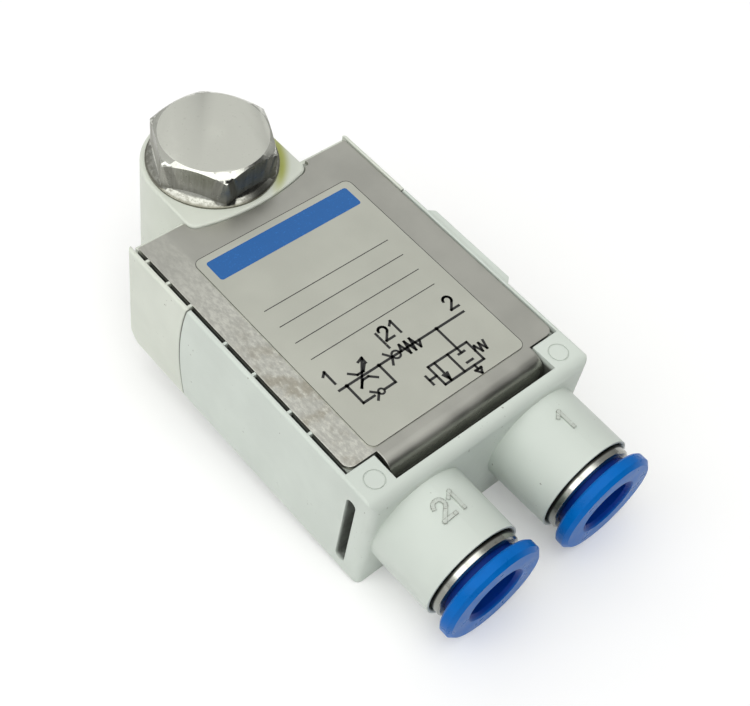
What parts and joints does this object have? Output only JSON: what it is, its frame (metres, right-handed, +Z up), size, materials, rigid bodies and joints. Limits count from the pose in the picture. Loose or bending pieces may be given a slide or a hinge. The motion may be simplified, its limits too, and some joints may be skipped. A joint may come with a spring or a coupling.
{
  "type": "one-way flow control valve",
  "caption": "Flat pneumatic valve that screws into a cylinder port by a hollow swivel bolt, with push-in tube ports, an adjusting screw and a manual vent.",
  "frame": {"origin": "on the hollow bolt's axis, in the plane of the housing's underside, which seats on the cylinder", "axes": "+Z up along the bolt, from the thread to the hexagon; +Y from the tube ports to the bolt; +X towards port 1's side and the side pad"},
  "size_m": [0.0328, 0.0657, 0.0256],
  "materials": {
    "housing_plastic": "light warm grey glass-filled polyamide, faint sheen",
    "banjo_plastic": "off-white polyamide, faint sheen",
    "cover_sheet": "rolled stainless sheet, mottled satin",
    "label_foil": "silver-grey foil, satin",
    "nickel_plate": "nickel-plated brass, satin where turned",
    "inner_plastic": "natural acetal",
    "button_plastic": "blue acetal",
    "brass": "turned brass",
    "spring_steel": "bright stainless spring wire and strip",
    "nitrile_rubber": "matt black",
    "release_blue": "bright blue acetal, moulded gloss"
  },
  "bodies": {
    "housing": {"main_housing": "housing_plastic", "banjo_housing": "banjo_plastic", "cover_plate": "cover_sheet", "rating_label": "label_foil", "upper_shank_seal": "nitrile_rubber", "lower_shank_seal": "nitrile_rubber", "base_seal": "nitrile_rubber", "spigot_seal": "nitrile_rubber", "check_seat": "inner_plastic", "check_spring": "spring_steel", "throttle_insert": "inner_plastic", "bypass_lip_seal": "nitrile_rubber", "flow_bush": "brass", "vent_seat_ring": "inner_plastic", "vent_bush": "brass", "vent_spring": "spring_steel", "port_1_collar": "nickel_plate", "port_1_gripper": "spring_steel", "port_1_claw_cage": "inner_plastic", "port_1_tube_seal": "nitrile_rubber", "port_21_collar": "nickel_plate", "port_21_gripper": "spring_steel", "port_21_claw_cage": "inner_plastic", "port_21_tube_seal": "nitrile_rubber"},
    "hollow_bolt": {"hollow_bolt": "nickel_plate"},
    "release_ring_1": {"port_1_release_ring": "release_blue"},
    "release_ring_21": {"port_21_release_ring": "release_blue"},
    "pilot_piston": {"pilot_piston": "inner_plastic", "pilot_piston_seal": "nitrile_rubber"},
    "check_poppet": {"check_poppet": "inner_plastic", "check_poppet_seal": "nitrile_rubber"},
    "needle_travel": {"flow_needle_seal": "nitrile_rubber"},
    "flow_needle": {"flow_needle": "brass"},
    "vent_button": {"vent_button": "button_plastic", "vent_poppet": "inner_plastic", "vent_poppet_seal": "nitrile_rubber"}
  },
  "joints": [
    {"name": "bolt_swivel", "type": "hinge", "parent": "housing", "child": "hollow_bolt", "pos_m": [0, 0, 0], "axis": [0, 0, 1], "continuous": true},
    {"name": "release_1_push", "type": "slide", "parent": "housing", "child": "release_ring_1", "axis": [0, 1, 0], "range_m": [0, 0.0008], "stiffness_N_per_m": 500, "springref_m": -0.001},
    {"name": "release_21_push", "type": "slide", "parent": "housing", "child": "release_ring_21", "axis": [0, 1, 0], "range_m": [0, 0.0008], "stiffness_N_per_m": 500, "springref_m": -0.001},
    {"name": "pilot_piston_travel", "type": "slide", "parent": "housing", "child": "pilot_piston", "axis": [0, 1, 0], "range_m": [0, 0.0012]},
    {"name": "check_poppet_travel", "type": "slide", "parent": "housing", "child": "check_poppet", "axis": [0, 1, 0], "range_m": [0, 0.0012], "stiffness_N_per_m": 500, "springref_m": -0.0015, "deforming": ["check_spring"]},
    {"name": "flow_screw_travel", "type": "slide", "parent": "housing", "child": "needle_travel", "axis": [1, 0, 0], "range_m": [-0.001, 0.0015]},
    {"name": "flow_screw_turn", "type": "hinge", "parent": "needle_travel", "child": "flow_needle", "pos_m": [0.0151, -0.02885, 0.0079], "axis": [1, 0, 0], "range_deg": [-720, 1080]},
    {"name": "vent_button_push", "type": "slide", "parent": "housing", "child": "vent_button", "axis": [-1, 0, 0], "range_m": [0, 0.0011], "stiffness_N_per_m": 500, "springref_m": -0.0012, "deforming": ["vent_spring"]}
  ],
  "couplings": [
    {"joint": "flow_screw_turn", "follows": "flow_screw_travel", "rad_per_m": 12566},
    {"joint": "check_poppet_travel", "follows": "pilot_piston_travel", "ratio": 1}
  ]
}
